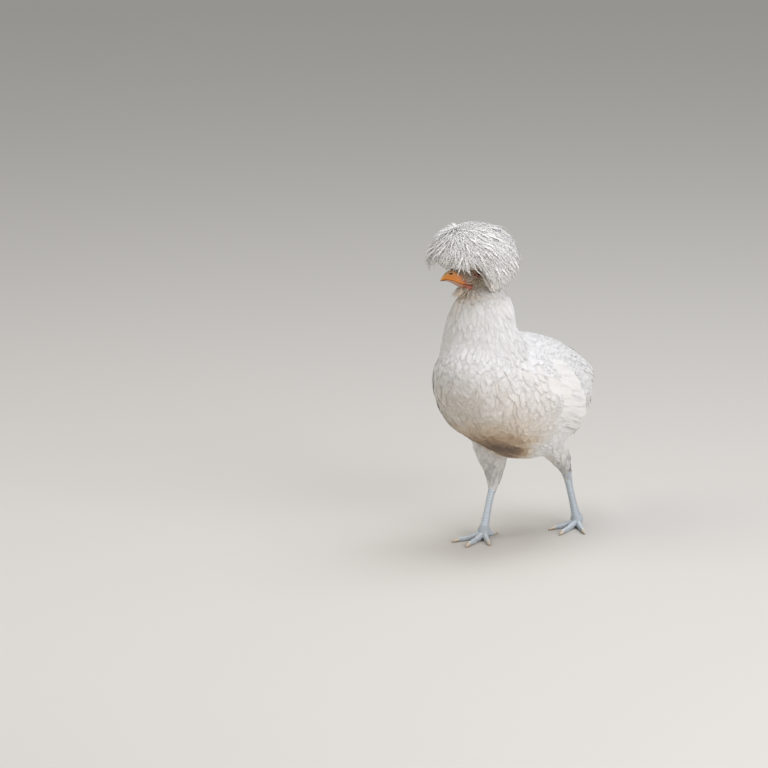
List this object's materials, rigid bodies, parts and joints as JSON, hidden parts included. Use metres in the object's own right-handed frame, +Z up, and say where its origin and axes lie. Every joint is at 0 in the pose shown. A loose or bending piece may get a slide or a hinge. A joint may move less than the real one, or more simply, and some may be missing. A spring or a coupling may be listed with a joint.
{
  "type": "polish crested chicken",
  "caption": "White crested hen in mid step, with a globe of feathers on its head, folded wings, a short low tail and slate legs.",
  "frame": {"origin": "middle of the bird's box, on the floor that both feet stand on", "axes": "+Z up, -Y the way the hen walks, +X its left side"},
  "size_m": [0.1634, 0.3736, 0.4303],
  "materials": {
    "plumage": "matte white feathers",
    "leg_skin": "matte slate-blue scaly skin",
    "claw_horn": "satin pale horn",
    "bill_horn": "satin orange horn with a paler tip",
    "eye": "wet gloss",
    "face_skin": "matte red skin",
    "earlobe_skin": "matte white skin"
  },
  "bodies": {
    "root": {"bill_lower": "bill_horn", "bill_upper": "bill_horn", "claw_left_hind": "claw_horn", "claw_left_inner": "claw_horn", "claw_left_middle": "claw_horn", "claw_left_outer": "claw_horn", "claw_right_hind": "claw_horn", "claw_right_inner": "claw_horn", "claw_right_middle": "claw_horn", "claw_right_outer": "claw_horn", "comb": "face_skin", "crest": "plumage", "earlobe_left": "earlobe_skin", "earlobe_right": "earlobe_skin", "eye_left": "eye", "eye_right": "eye", "foot_left": "leg_skin", "foot_right": "leg_skin", "head": "plumage", "neck": "plumage", "shank_left": "leg_skin", "shank_right": "leg_skin", "tail": "plumage", "thigh_left": "plumage", "thigh_right": "plumage", "torso": "plumage", "wattle_left": "face_skin", "wattle_right": "face_skin", "wing_left": "plumage", "wing_right": "plumage"}
  },
  "joints": []
}
